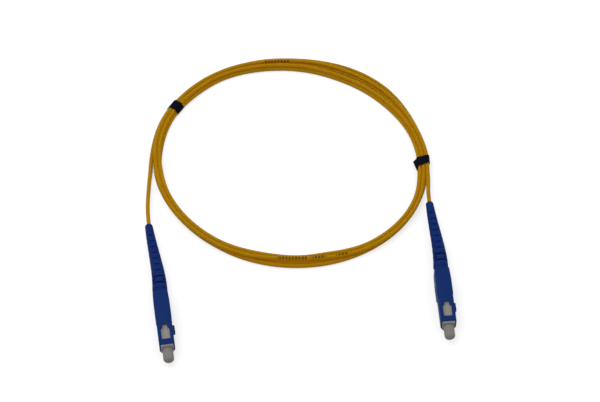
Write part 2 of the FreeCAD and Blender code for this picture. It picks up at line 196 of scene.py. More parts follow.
@dataclass(frozen=True)
class Finish:
    """Procedural finish: two tones mixed by a soft cloud, speckled roughness and a fine moulded grain."""

    name: str
    tone: Colour
    shade: Colour
    roughness: float
    roughness_spread: float = 0.1
    cloud: float = 160.0
    grain: float = 2600.0
    grain_height: float = 0.00001
    metallic: float = 0.0
    specular: float = 0.05
    translucent: float = 0.0
    light_depth: float = 0.001
    LIGHT_REACH: ClassVar[Colour] = (1.0, 0.5, 0.1)
    # Sockets of a Mix node that mixes colours
    MIX_FIRST: ClassVar[int] = 6
    MIX_SECOND: ClassVar[int] = 7
    MIX_RESULT: ClassVar[int] = 2

    def make(self) -> bpy.types.Material:
        """Build the material.

        Returns:
            The new material, with its colour, roughness and bump driven by nodes.
        """
        material = bpy.data.materials.new(self.name)
        material.use_nodes = True
        tree = material.node_tree
        shader = tree.nodes["Principled BSDF"]
        shader.inputs["Metallic"].default_value = self.metallic
        shader.inputs["Specular IOR Level"].default_value = self.specular
        shader.inputs["Subsurface Weight"].default_value = self.translucent
        shader.inputs["Subsurface Scale"].default_value = self.light_depth
        shader.inputs["Subsurface Radius"].default_value = self.LIGHT_REACH
        place = tree.nodes.new("ShaderNodeTexCoord").outputs["Object"]
        tree.links.new(self.colour(tree, place), shader.inputs["Base Color"])
        speckle = self.noise(tree, place, self.grain)
        dull = (self.roughness - self.roughness_spread, self.roughness + self.roughness_spread)
        tree.links.new(spread(tree, speckle, dull), shader.inputs["Roughness"])
        tree.links.new(self.bump(tree, place, speckle), shader.inputs["Normal"])
        return material

    @staticmethod
    def noise(tree: Tree, place: Socket, scale: float, detail: float = 3.0) -> Socket:
        """Noise of a given scale per metre.

        Args:
            tree: the material's node tree.
            place: coordinates that the noise is read at.
            scale: how many features a metre holds.
            detail: how many finer layers are added.

        Returns:
            The socket with the noise's value.
        """
        node = tree.nodes.new("ShaderNodeTexNoise")
        node.inputs["Scale"].default_value = scale
        node.inputs["Detail"].default_value = detail
        tree.links.new(place, node.inputs["Vector"])
        return node.outputs["Fac"]

    @staticmethod
    def blend(tree: Tree, share: Socket, first: Colour | Socket, second: Colour) -> Socket:
        """Mix a colour with another by a share.

        Args:
            tree: the material's node tree.
            share: how much of the second colour shows.
            first: the colour, or the socket with it, that the mix starts from.
            second: the colour that is mixed in.

        Returns:
            The socket with the mixed colour.
        """
        node = tree.nodes.new("ShaderNodeMix")
        node.data_type = "RGBA"
        tree.links.new(share, node.inputs["Factor"])
        if isinstance(first, tuple):
            node.inputs[Finish.MIX_FIRST].default_value = (*first, 1)
        else:
            tree.links.new(first, node.inputs[Finish.MIX_FIRST])
        node.inputs[Finish.MIX_SECOND].default_value = (*second, 1)
        return node.outputs[Finish.MIX_RESULT]

    def colour(self, tree: Tree, place: Socket) -> Socket:
        """Colour of the surface: its two tones mixed by the cloud."""
        return self.blend(tree, self.noise(tree, place, self.cloud), self.tone, self.shade)

    def bump(self, tree: Tree, place: Socket, speckle: Socket) -> Socket:
        """Fine relief of the surface.

        Args:
            tree: the material's node tree.
            place: coordinates on the piece; not used here.
            speckle: the fine noise that the roughness uses too.

        Returns:
            The socket with the bumped normal.
        """
        node = tree.nodes.new("ShaderNodeBump")
        node.inputs["Distance"].default_value = self.grain_height
        tree.links.new(speckle, node.inputs["Height"])
        return node.outputs["Normal"]


@dataclass(frozen=True)
class JacketFinish(Finish):
    """Extruded jacket: soft plastic with groups of plain printed dashes, and a painted orange glow in its
    creases.

    Each group is where it starts and ends along the cord, in mm, and its row as a share of the way round.
    """

    ink: Colour = (0.03, 0.018, 0.004)
    ink_cover: float = 1.6
    length: float = CORD_LENGTH
    dash_pitch: float = 1.7
    dash_share: float = 0.62
    dash_groups: tuple[tuple[float, float, float], ...] = (
        (1530.0, 1535.5, 0.23),
        (1541.0, 1547.5, 0.21),
        (1550.5, 1566.0, 0.15),
        (1748.5, 1763.0, 0.35),
    )
    row_width: float = 0.26
    # Painted light: an orange glow in the creases where strands touch, fading out as a crease opens
    painted_crease_glow: Colour = (0.15, 0.043, 0.0)
    crease_reach: float = 0.0025
    crease_deep: float = 0.15
    crease_open: float = 0.75

    def make(self) -> bpy.types.Material:
        """Build the material, with a painted glow in its creases that stands in for the light that touching
        strands pass on to each other.

        Returns:
            The new material.
        """
        material = super().make()
        tree = material.node_tree
        shader = tree.nodes["Principled BSDF"]
        # Painted light: emission that stands in for light bounced between touching strands, strongest deep
        # in their creases
        room = openness(tree, self.crease_reach, own=True)
        glow = spread(tree, room, (1.0, 0.0), (self.crease_deep, self.crease_open))
        tree.links.new(glow, shader.inputs["Emission Strength"])
        shader.inputs["Emission Color"].default_value = (*self.painted_crease_glow, 1)
        return material

    def colour(self, tree: Tree, place: Socket) -> Socket:
        """Jacket colour with groups of dashes along the cord.

        Args:
            tree: the material's node tree.
            place: coordinates on the piece.

        Returns:
            The socket with the colour.
        """
        split = tree.nodes.new("ShaderNodeSeparateXYZ")
        tree.links.new(tree.nodes.new("ShaderNodeTexCoord").outputs["UV"], split.inputs[0])
        travel = reckon(tree, "MULTIPLY", split.outputs["X"], self.length)
        count = reckon(tree, "FRACT", reckon(tree, "DIVIDE", travel, self.dash_pitch))
        dashes = reckon(tree, "LESS_THAN", count, self.dash_share)
        cover = reckon(tree, "MULTIPLY", self.noise(tree, place, self.grain), self.ink_cover)
        cover = reckon(tree, "MULTIPLY", cover, dashes)
        colour = super().colour(tree, place)
        for first, last, row in self.dash_groups:
            aside = reckon(tree, "ABSOLUTE", reckon(tree, "SUBTRACT", split.outputs["Y"], row))
            tests = (
                reckon(tree, "GREATER_THAN", travel, first),
                reckon(tree, "LESS_THAN", travel, last),
                reckon(tree, "LESS_THAN", aside, self.row_width / 2),
            )
            share = cover
            for test in tests:
                share = reckon(tree, "MULTIPLY", share, test)
            colour = self.blend(tree, share, colour, self.ink)
        return colour


@dataclass(frozen=True)
class TapeFinish(Finish):
    """Wound tape: dark film with shallow wrinkles across it."""

    wrinkle: float = 700.0
    wrinkle_detail: float = 2.0
    wrinkle_height: float = 0.00012

    def bump(self, tree: Tree, place: Socket, speckle: Socket) -> Socket:
        """Wrinkles over the fine grain.

        Args:
            tree: the material's node tree.
            place: coordinates on the piece.
            speckle: the fine noise that the roughness uses too.

        Returns:
            The socket with the bumped normal.
        """
        node = tree.nodes.new("ShaderNodeBump")
        node.inputs["Distance"].default_value = self.wrinkle_height
        wrinkles = self.noise(tree, place, self.wrinkle, self.wrinkle_detail)
        tree.links.new(wrinkles, node.inputs["Height"])
        tree.links.new(super().bump(tree, place, speckle), node.inputs["Normal"])
        return node.outputs["Normal"]


@dataclass(frozen=True)
class Palette:
    """Every finish on the part, by the record's material slots."""

    cable_jacket: Finish = JacketFinish(
        "cable_jacket", (0.4, 0.213, 0.002), (0.34, 0.174, 0.0015), 0.45, cloud=90.0, grain=1500.0,
        specular=0.03, translucent=0.8, light_depth=0.0015)
    tape: Finish = TapeFinish(
        "tape", (0.002, 0.002, 0.006), (0.005, 0.005, 0.011), 0.35, specular=0.02)
    grip_plastic: Finish = Finish("grip_plastic", (0.0045, 0.026, 0.140), (0.0035, 0.020, 0.112), 0.45)
    boot_rubber: Finish = Finish("boot_rubber", (0.0045, 0.024, 0.142), (0.0035, 0.017, 0.105), 0.55)
    frame_plastic: Finish = Finish("frame_plastic", (0.31, 0.30, 0.265), (0.26, 0.25, 0.22), 0.45)
    cap_plastic: Finish = Finish("cap_plastic", (0.22, 0.21, 0.20), (0.19, 0.18, 0.172), 0.45)
    ferrule_ceramic: Finish = Finish(
        "ferrule_ceramic", (0.80, 0.79, 0.76), (0.74, 0.73, 0.70), 0.2, 0.05, specular=0.5)
    plated_metal: Finish = Finish(
        "plated_metal", (0.62, 0.60, 0.55), (0.52, 0.50, 0.46), 0.28, metallic=1.0)
    spring_steel: Finish = Finish(
        "spring_steel", (0.50, 0.50, 0.50), (0.40, 0.40, 0.41), 0.3, metallic=1.0)
    crimp_metal: Finish = Finish(
        "crimp_metal", (0.60, 0.58, 0.54), (0.47, 0.45, 0.42), 0.35, metallic=1.0)


class PaintShop:
    """Makes each finish once and puts it on the pieces."""

    def __init__(self, palette: Palette) -> None:
        """Start with nothing mixed."""
        self.palette = palette
        self.made: dict[str, bpy.types.Material] = {}

    def dress(self, piece: bpy.types.Object, slot: str) -> None:
        """Give a piece the finish of one of the record's slots.

        Args:
            piece: the object to dress.
            slot: name of the slot.
        """
        if slot not in self.made:
            self.made[slot] = getattr(self.palette, slot).make()
        piece.data.materials.clear()
        piece.data.materials.append(self.made[slot])


# Studio


@dataclass
class Studio:
    """Camera at the photo's viewing angle, pale floor and soft light. Sizes in metres, turns in degrees."""

    target: Point = (0.00012, 0.04948, 0.0)
    distance: float = 1.0
    elevation: float = 56.0
    lens: float = 120.0
    sensor: float = 36.0
    floor_size: float = 6.0
    floor_drop: float = 0.0001
    floor_tone: float = 0.45
    floor_roughness: float = 1.0
    floor_specular: float = 0.0
    floor_glow: float = 0.62
    # Painted shade: the floor's glow fades where the floor is closed in, between and beside the strands
    gap_reach: float = 0.004
    gap_closed: float = 0.05
    gap_open: float = 0.35
    sky: float = 0.78
    key_power: float = 4.5
    key_size: float = 0.9
    key_place: Point = (-0.35, 0.25, 1.1)

    def build(self) -> None:
        """Make the camera, the floor, the lamp and the sky."""
        self.build_camera()
        self.build_floor()
        self.build_light()
        self.build_sky()
        bpy.context.scene.view_settings.view_transform = "Standard"

    def build_camera(self) -> None:
        """Camera in front of the part, looking down at it."""
        tilt = math.radians(self.elevation)
        offset = Vector((0, -math.cos(tilt), math.sin(tilt))) * self.distance
        bpy.ops.object.camera_add(
            location=Vector(self.target) + offset, rotation=(math.pi / 2 - tilt, 0, 0))
        camera = bpy.context.object
        camera.name = "camera"
        camera.data.lens = self.lens
        camera.data.sensor_width = self.sensor
        bpy.context.scene.camera = camera

    def build_floor(self) -> None:
        """Pale floor that takes the shadow and glows to the camera, with the glow taken away between and
        beside the strands as painted shade.
        """
        bpy.ops.mesh.primitive_plane_add(size=self.floor_size, location=(0, 0, -self.floor_drop))
        floor = bpy.context.object
        floor.name = "floor"
        material = bpy.data.materials.new("floor")
        material.use_nodes = True
        tree = material.node_tree
        shader = tree.nodes["Principled BSDF"]
        shader.inputs["Base Color"].default_value = (self.floor_tone, self.floor_tone, self.floor_tone, 1)
        shader.inputs["Roughness"].default_value = self.floor_roughness
        shader.inputs["Specular IOR Level"].default_value = self.floor_specular
        shader.inputs["Emission Color"].default_value = WHITE
        # Painted shade: the glow drops where the strands close in the floor
        room = openness(tree, self.gap_reach)
        lit = spread(tree, room, (0.0, self.floor_glow), (self.gap_closed, self.gap_open))
        glow = reckon(tree, "MULTIPLY", self.seen(tree), lit)
        tree.links.new(glow, shader.inputs["Emission Strength"])
        floor.data.materials.append(material)

    def build_light(self) -> None:
        """One large soft lamp above and behind the coil."""
        bpy.ops.object.light_add(type="AREA", location=self.key_place)
        lamp = bpy.context.object
        lamp.name = "soft_lamp"
        lamp.data.energy = self.key_power
        lamp.data.size = self.key_size
        aim = Vector(self.target) - Vector(self.key_place)
        lamp.rotation_euler = aim.to_track_quat("-Z", "Y").to_euler()

    def build_sky(self) -> None:
        """White surroundings: full white to the camera, softer as light."""
        world = bpy.context.scene.world or bpy.data.worlds.new("sky")
        bpy.context.scene.world = world
        world.use_nodes = True
        tree = world.node_tree
        background = tree.nodes["Background"]
        background.inputs["Color"].default_value = WHITE
        level = spread(tree, self.seen(tree), (self.sky, 1.0))
        tree.links.new(level, background.inputs["Strength"])

    @staticmethod
    def seen(tree: Tree) -> Socket:
        """Where the camera looks, straight or by a mirror or through glass.

        Args:
            tree: the node tree to add to.

        Returns:
            The socket that is 1 for such a ray and 0 for others.
        """
        path = tree.nodes.new("ShaderNodeLightPath")
        total = path.outputs["Is Camera Ray"]
        for name in ("Is Glossy Ray", "Is Transmission Ray"):
            total = reckon(tree, "MAXIMUM", total, path.outputs[name])
        return total


# Cable


@dataclass
class PatchCord:
    """The cord: four and a half loose turns and a free stretch to each boot, in mm and degrees.

    Bearings count from the coil's middle, and the turns run clockwise. Each row of lanes is a bearing
    and how far out from the coil's mean oval each turn lies there.
    """

    diameter: float = 2.0
    length: float = CORD_LENGTH
    middle: tuple[float, float] = (-5.13, 73.58)
    long_half: float = 68.0
    short_half: float = 60.7
    oval_turn: float = 165.3
    step: float = 9.0
    first_bearing: float = 180.0
    last_bearing: float = -1440.0
    strand_pitch: float = 2.04
    hump_reach: float = 6.0
    band_lift: float = 0.3
    band_reach: float = 22.0
    left_out: float = 6.0
    left_free: tuple[Point, ...] = ((-75.75, 55.48, 1.9), (-75.35, 66.08, 1.05))
    right_free: tuple[Point, ...] = ((64.25, 66.58, 3.7), (64.5, 60.08, 3.5))
    right_out: float = 5.0
    lanes: tuple[tuple[float, tuple[float, ...]], ...] = (
        (184.0, (3.2, 1.1, -1.0, -1.95, 0.1)),
        (176.0, (1.75, -0.3, -2.35, -1.3, 0.75)),
        (168.0, (1.95, -0.1, -2.15, -1.1, 0.95)),
        (151.5, (2.05, 0.0, -2.05, -1.0, 1.05)),
        (143.0, (1.75, -0.35, -2.5, -1.4, 0.7)),
        (136.0, (2.2, 0.05, -2.4, -1.2, 1.1)),
        (124.0, (2.4, 0.35, -1.75, -0.7, 1.4)),
        (112.0, (2.7, 0.5, -2.0, -1.0, 1.4)),
        (104.0, (3.05, 0.25, -2.55, -1.5, 1.3)),
        (88.0, (3.06, 0.2, -2.7, -1.85, 1.25)),
        (80.0, (3.6, 0.75, -2.9, -1.8, 1.75)),
        (72.0, (4.2, 0.9, -3.2, -2.15, 1.95)),
        (64.0, (4.85, 0.75, -3.5, -2.4, 1.85)),
        (56.0, (5.05, 0.85, -3.4, -2.25, 2.0)),
        (48.0, (5.05, 0.85, -3.35, -2.05, 2.15)),
        (40.0, (4.45, 0.6, -3.35, -2.15, 1.8)),
        (32.0, (3.55, 0.45, -3.2, -1.9, 1.6)),
        (24.0, (2.5, -0.1, -2.7, -1.55, 1.2)),
        (16.0, (1.85, -0.2, -2.3, -1.1, 0.95)),
        (8.0, (1.75, -0.3, -2.4, -0.65, 1.25)),
        (-1.0, (1.55, -0.5, -2.2, -0.1, 1.95)),
        (-8.0, (1.4, -0.7, -1.95, 0.1)),
        (-16.0, (1.3, -1.0, -0.8, 1.25)),
        (-24.0, (1.25, -0.8, -0.2, 1.85)),
        (-40.0, (1.35, -0.95, -0.28, 1.77)),
        (-52.0, (1.45, -1.1, -0.45, 1.6)),
        (-64.0, (1.63, -0.6, -1.45, 0.6)),
        (-72.0, (1.8, -0.4, -2.7, -0.4)),
        (-80.0, (1.84, -0.3, -3.3, -1.2)),
        (-88.0, (1.9, -0.25, -3.25, -1.2)),
        (-96.0, (1.87, -0.3, -2.65, -0.85)),
        (-104.0, (1.85, -0.4, -2.05, 0.15)),
        (-112.0, (1.7, -0.65, -1.35, 0.7)),
        (-120.0, (1.5, -1.1, -0.8, 1.25)),
        (-128.0, (1.12, -1.2, -0.7, 1.35)),
        (-144.0, (0.82, -1.35, -0.8, 1.25)),
        (-160.0, (0.89, -1.25, -1.0, 1.05)),
        (-168.0, (1.1, -1.0, -1.5, 0.55)),
    )
    rings_per_point: int = 5
    round_steps: int = 5
    stops: list[Span] = field(init=False, default_factory=list)

    def __post_init__(self) -> None:
        """String the lanes of all turns together in the order in which the cord runs."""
        for turn in range(max(len(outs) for _, outs in self.lanes)):
            for bearing, outs in self.lanes:
                if turn < len(outs):
                    self.stops.append((bearing - 360 * turn, outs[turn]))

    def out(self, travel: float) -> float:
        """How far out from the mean oval the cord lies.

        Args:
            travel: bearing counted on through the turns.

        Returns:
            The distance, inwards if negative.
        """
        for (start, first), (end, second) in zip(self.stops, self.stops[1:]):
            if end <= travel <= start:
                return first + ease((start - travel) / (start - end)) * (second - first)
        return self.stops[-1][1]

    def lift(self, travel: float) -> float:
        """How far the tape under the strands holds them off the floor."""
        gaps = [abs((travel - bearing + 180) % 360 - 180) for bearing in BAND_BEARINGS.values()]
        return self.band_lift * ease(max(0.0, 1 - min(gaps) / self.band_reach))

    def rest(self, travel: float) -> float:
        """Height at which the cord touches what lies under it, the floor or earlier turns.

        Args:
            travel: bearing counted on through the turns.

        Returns:
            The height of the cord's middle.
        """
        height = self.diameter / 2 + self.lift(travel)
        earlier = travel + 360
        while earlier <= self.stops[0][0]:
            aside = abs(self.out(travel) - self.out(earlier))
            if aside < self.strand_pitch:
                rise = math.sqrt(self.strand_pitch ** 2 - aside ** 2)
                height = max(height, self.rest(earlier) + rise)
            earlier += 360
        return height

    def height(self, travel: float) -> float:
        """Height of the cord's middle, which rises before a crossing and sinks after it."""
        reach = (travel - self.hump_reach, travel, travel + self.hump_reach)
        return max(self.rest(max(place, self.last_bearing)) for place in reach)

    def radius(self, bearing: float) -> float:
        """Radius of the mean oval.

        Args:
            bearing: where it is read.

        Returns:
            The distance from the coil's middle.
        """
        angle = math.radians(bearing - self.oval_turn)
        across = math.hypot(self.short_half * math.cos(angle), self.long_half * math.sin(angle))
        return self.long_half * self.short_half / across

    def route(self) -> list[Point]:
        """Control points of the whole cord, from inside the left boot to inside the right one.

        Returns:
            The points, in metres.
        """
        ends = {
            Side.LEFT: [PLACEMENTS[Side.LEFT].on_line(BOOT_LINE.tip + reach)
                        for reach in (-self.left_out, self.left_out)],
            Side.RIGHT: [PLACEMENTS[Side.RIGHT].on_line(BOOT_LINE.tip + reach)
                         for reach in (self.right_out, -self.right_out)],
        }
        swell = 1 / math.cos(math.radians(self.step / 2))
        turns = []
        for index in range(round((self.first_bearing - self.last_bearing) / self.step) + 1):
            travel = self.first_bearing - index * self.step
            reach = (self.radius(travel) + self.out(travel)) * swell
            angle = math.radians(travel)
            turns.append((self.middle[0] + reach * math.cos(angle),
                          self.middle[1] + reach * math.sin(angle), self.height(travel)))
        laid = [tuple(Vector(point) * MM) for point in (*self.left_free, *turns, *self.right_free)]
        return ends[Side.LEFT] + laid + ends[Side.RIGHT]

    def build(self) -> bpy.types.Object:
        """Make the cord as one smooth spline, still without its round section.

        Returns:
            The cord.
        """
        curve = bpy.data.curves.new("patch_cord", "CURVE")
        curve.dimensions = "3D"
        points = self.route()
        spline = curve.splines.new("NURBS")
        spline.points.add(len(points) - 1)
        for control, point in zip(spline.points, points):
            control.co = (*point, 1)
        spline.order_u = 3
        spline.use_endpoint_u = True
        curve.resolution_u = self.rings_per_point
        curve.twist_mode = "Z_UP"
        cord = bpy.data.objects.new("patch_cord", curve)
        bpy.context.scene.collection.objects.link(cord)
        return cord

    def line(self, cord: bpy.types.Object) -> list[Vector]:
        """Points of the cord's middle, read from its spline before it has a section.

        Args:
            cord: the cord as built.

        Returns:
            The points in order, in metres.
        """
        bpy.context.view_layer.update()
        shape = cord.evaluated_get(bpy.context.evaluated_depsgraph_get())
        mesh = bpy.data.meshes.new_from_object(shape)
        points = [vertex.co.copy() for vertex in mesh.vertices]
        bpy.data.meshes.remove(mesh)
        return points

    def thicken(self, cord: bpy.types.Object) -> None:
        """Give the cord its round section.

        Args:
            cord: the cord as built.
        """
        cord.data.bevel_depth = self.diameter / 2 * MM
        cord.data.bevel_resolution = self.round_steps
        cord.data.use_fill_caps = True


# Workbench


class Workpiece:
    """A mesh under way, shaped with Blender's own tools. Connector pieces are in mm on their own axis."""

    # Points nearer than this are one, in the piece's own units
    MERGE: ClassVar[float] = 0.0005
    # Least cosine at which a face looks one way, and at which an edge runs one way
    FACING: ClassVar[float] = 0.99
    ALONG: ClassVar[float] = 0.9
    # Bends that a flat face may have, in degrees
    FLAT: ClassVar[float] = 0.5

    def __init__(self, item: bpy.types.Object) -> None:
        """Take up an object."""
        self.item = item

    @staticmethod
    def clear_selection() -> None:
        """Let go of everything."""
        if bpy.context.object and bpy.context.object.mode != "OBJECT":
            bpy.ops.object.mode_set(mode="OBJECT")
        bpy.ops.object.select_all(action="DESELECT")

    def hold(self) -> None:
        """Make this the only selected object."""
        self.clear_selection()
        self.item.select_set(True)
        bpy.context.view_layer.objects.active = self.item

    @staticmethod
    def settle() -> None:
        """Put the place, turn and size of what is selected into its mesh."""
        bpy.ops.object.transform_apply(location=True, rotation=True, scale=True)

    @classmethod
    def take_up(cls, name: str) -> "Workpiece":
        """Name the primitive that was just added and settle it.

        Args:
            name: name of the piece.

        Returns:
            The new workpiece.
        """
        piece = cls(bpy.context.object)
        piece.item.name = name
        cls.settle()
        return piece

    @classmethod
    def block(
        cls, name: str, size: Sequence[float], middle: Sequence[float], turn: float = 0.0
    ) -> "Workpiece":
        """Start from a cube.

        Args:
            name: name of the piece.
            size: its length along each axis.
            middle: its centre.
            turn: its turn about the connector's axis, in radians.

        Returns:
            The new workpiece.
        """
        cls.clear_selection()
        bpy.ops.mesh.primitive_cube_add(size=1, location=middle, rotation=(0, turn, 0), scale=size)
        return cls.take_up(name)

    @classmethod
    def rod(cls, name: str, diameter: float, front: float, rear: float, sides: int = 64) -> "Workpiece":
        """Start from a cylinder on the connector's axis.

        Args:
            name: name of the piece.
            diameter: its diameter.
            front: where it starts along the axis.
            rear: where it ends.
            sides: how many flats its round has.

        Returns:
            The new workpiece.
        """
        cls.clear_selection()
        bpy.ops.mesh.primitive_cylinder_add(
            vertices=sides, radius=diameter / 2, depth=rear - front,
            location=(0, (front + rear) / 2, 0), rotation=(-math.pi / 2, 0, 0))
        return cls.take_up(name)

    def copy(self, name: str) -> "Workpiece":
        """Copy of this piece with a mesh of its own.

        Args:
            name: name of the copy.

        Returns:
            The copy.
        """
        self.hold()
        bpy.ops.object.duplicate()
        twin = Workpiece(bpy.context.object)
        twin.item.name = name
        return twin

    def edit(self, mode: str) -> bmesh.types.BMesh:
        """Open the mesh for editing with nothing selected.

        Args:
            mode: what is picked next, VERT, EDGE or FACE.

        Returns:
            The open mesh.
        """
        self.hold()
        bpy.ops.object.mode_set(mode="EDIT")
        bpy.ops.mesh.select_mode(type=mode)
        bpy.ops.mesh.select_all(action="DESELECT")
        return bmesh.from_edit_mesh(self.item.data)

    def close(self) -> "Workpiece":
        """Leave edit mode."""
        bpy.ops.object.mode_set(mode="OBJECT")
        return self

    def pick_faces(self, pick: FacePick) -> None:
        """Open the mesh and select the faces that a test accepts.

        Args:
            pick: the test.
        """
        mesh = self.edit("FACE")
        for face in mesh.faces:
            face.select = pick(face)
        mesh.select_flush_mode()
        bmesh.update_edit_mesh(self.item.data)

    def pull(
        self, toward: Sequence[float], distance: float, scale: Sequence[float] = (1, 1, 1),
        aside: tuple[float, float] = (0.0, 0.0)
    ) -> "Workpiece":
        """Extrude the end faces that look one way, and resize the new end about its middle.

        Args:
            toward: direction that the faces look and move in.
            distance: how far they move.
            scale: how the new end is resized.
            aside: how far to the side of the axis the old end and the new one lie.

        Returns:
            This workpiece.
        """
        way = Vector(toward)
        crest = max(vertex.co.dot(way) for vertex in self.item.data.vertices)
        self.pick_faces(lambda face: face.normal.dot(way) > self.FACING
                        and abs(face.calc_center_median().dot(way) - crest) < self.MERGE)
        step = way * distance + Vector(OUTWARD) * (aside[1] - aside[0])
        bpy.ops.mesh.extrude_region_move(TRANSFORM_OT_translate={"value": step})
        middle = way * (crest + distance) + Vector(OUTWARD) * aside[1]
        bpy.ops.transform.resize(value=scale, center_override=middle)
        return self.close()

    def resize_end(
        self, toward: Sequence[float], scale: Sequence[float], about: Sequence[float]
    ) -> "Workpiece":
        """Resize the end faces that look one way.

        Args:
            toward: direction that the faces look in.
            scale: how they are resized.
            about: point that stays in place.

        Returns:
            This workpiece.
        """
        way = Vector(toward)
        self.pick_faces(lambda face: face.normal.dot(way) > self.FACING)
        bpy.ops.transform.resize(value=scale, center_override=about)
        return self.close()

    def round_edges(self, pick: EdgePick, width: float, steps: int = 4) -> "Workpiece":
        """Bevel the edges that a test accepts.

        Args:
            pick: the test.
            width: width of the bevel.
            steps: number of facets.

        Returns:
            This workpiece.
        """
        mesh = self.edit("EDGE")
        for edge in mesh.edges:
            edge.select = pick(edge)
        mesh.select_flush_mode()
        bmesh.update_edit_mesh(self.item.data)
        bpy.ops.mesh.bevel(offset=width, segments=steps, affect="EDGES", clamp_overlap=True)
        return self.close()

    def combine(self, tool: "Workpiece", operation: str) -> "Workpiece":
        """Cut with, or add, another workpiece, which is used up.

        Args:
            tool: the other workpiece.
            operation: DIFFERENCE or UNION.

        Returns:
            This workpiece.
        """
        self.hold()
        joint = self.item.modifiers.new("combine", "BOOLEAN")
        joint.operation = operation
        joint.solver = "EXACT"
        joint.object = tool.item
        bpy.ops.object.modifier_apply(modifier=joint.name)
        bpy.data.objects.remove(tool.item)
        return self

    def cut(self, *tools: "Workpiece") -> "Workpiece":
        """Cut with each of the tools in turn.

        Args:
            tools: the cutters, which are used up.

        Returns:
            This workpiece.
        """
        for tool in tools:
            self.combine(tool, "DIFFERENCE")
        return self

    def gather(self, others: Sequence["Workpiece"]) -> "Workpiece":
        """Join separate pieces to this one as one object.

        Args:
            others: the pieces, which are used up.

        Returns:
            This workpiece.
        """
        self.hold()
        for other in others:
            other.item.select_set(True)
        bpy.ops.object.join()
        return self

    def soften(self, width: float, angle: float = 25.0, steps: int = 2) -> "Workpiece":
        """Clean the mesh and break its sharp edges.

        Args:
            width: width of the broken edge.
            angle: edges sharper than this, in degrees, are broken.
            steps: number of facets.

        Returns:
            This workpiece.
        """
        self.edit("VERT")
        bpy.ops.mesh.select_all(action="SELECT")
        bpy.ops.mesh.remove_doubles(threshold=self.MERGE)
        bpy.ops.mesh.dissolve_limited(angle_limit=math.radians(self.FLAT))
        bpy.ops.mesh.normals_make_consistent(inside=False)
        self.close()
        bevel = self.item.modifiers.new("edge", "BEVEL")
        bevel.width = width
        bevel.segments = steps
        bevel.limit_method = "ANGLE"
        bevel.angle_limit = math.radians(angle)
        bevel.use_clamp_overlap = True
        bevel.harden_normals = False
        bpy.ops.object.modifier_apply(modifier=bevel.name)
        return self.smooth(angle)

    def smooth(self, angle: float = 40.0) -> "Workpiece":
        """Shade the piece smooth, apart from edges sharper than the angle in degrees."""
        bpy.ops.object.shade_smooth_by_angle(angle=math.radians(angle))
        return self

    def place(self, placement: Placement) -> bpy.types.Object:
        """Lay the piece where its connector lies.

        Args:
            placement: where that is.

        Returns:
            The finished object, at the origin with its place in its mesh.
        """
        self.hold()
        self.item.matrix_world = placement.matrix()
        self.settle()
        return self.item


def along_axis(edge: bmesh.types.BMEdge) -> bool:
    """Whether an edge runs along the connector's axis."""
    line = edge.verts[1].co - edge.verts[0].co
    return abs(line.y) > Workpiece.ALONG * line.length


def upright(edge: bmesh.types.BMEdge) -> bool:
    """Whether an edge stands upright."""
    line = edge.verts[1].co - edge.verts[0].co
    return abs(line.z) > Workpiece.ALONG * line.length


def rim_at(y: float) -> EdgePick:
    """Test for the edges that lie at one place along the axis."""
    return lambda edge: all(abs(vertex.co.y - y) < Workpiece.MERGE for vertex in edge.verts)


# Connectors


@dataclass(frozen=True)
class CutCorners:
    """Slanted lower corners of the nose, which the cavity and the plug frame follow. Sizes in mm."""

    half_width: float = 3.7
    half_height: float = 4.5
    cut_width: float = 1.4
    cut_height: float = 2.6
    reach: float = 3.0

    def tools(self, inset: float, front: float, rear: float) -> list[Workpiece]:
        """Cutters for both corners.

        Args:
            inset: how far inside the nose's own outline the slants lie.
            front: where they start along the axis.
            rear: where they end.

        Returns:
            The cutters.
        """
        turn = math.atan2(self.cut_width, self.cut_height)
        midway = Vector((self.half_width - self.cut_width / 2, (front + rear) / 2,
                         self.cut_height / 2 - self.half_height))
        middle = midway + Vector((math.cos(turn), 0, -math.sin(turn))) * (self.reach / 2 - inset)
        size = (self.reach, rear - front, 2 * self.reach)
        return [Workpiece.block("slant", size, (side * middle.x, middle.y, middle.z), side * turn)
                for side in (1, -1)]


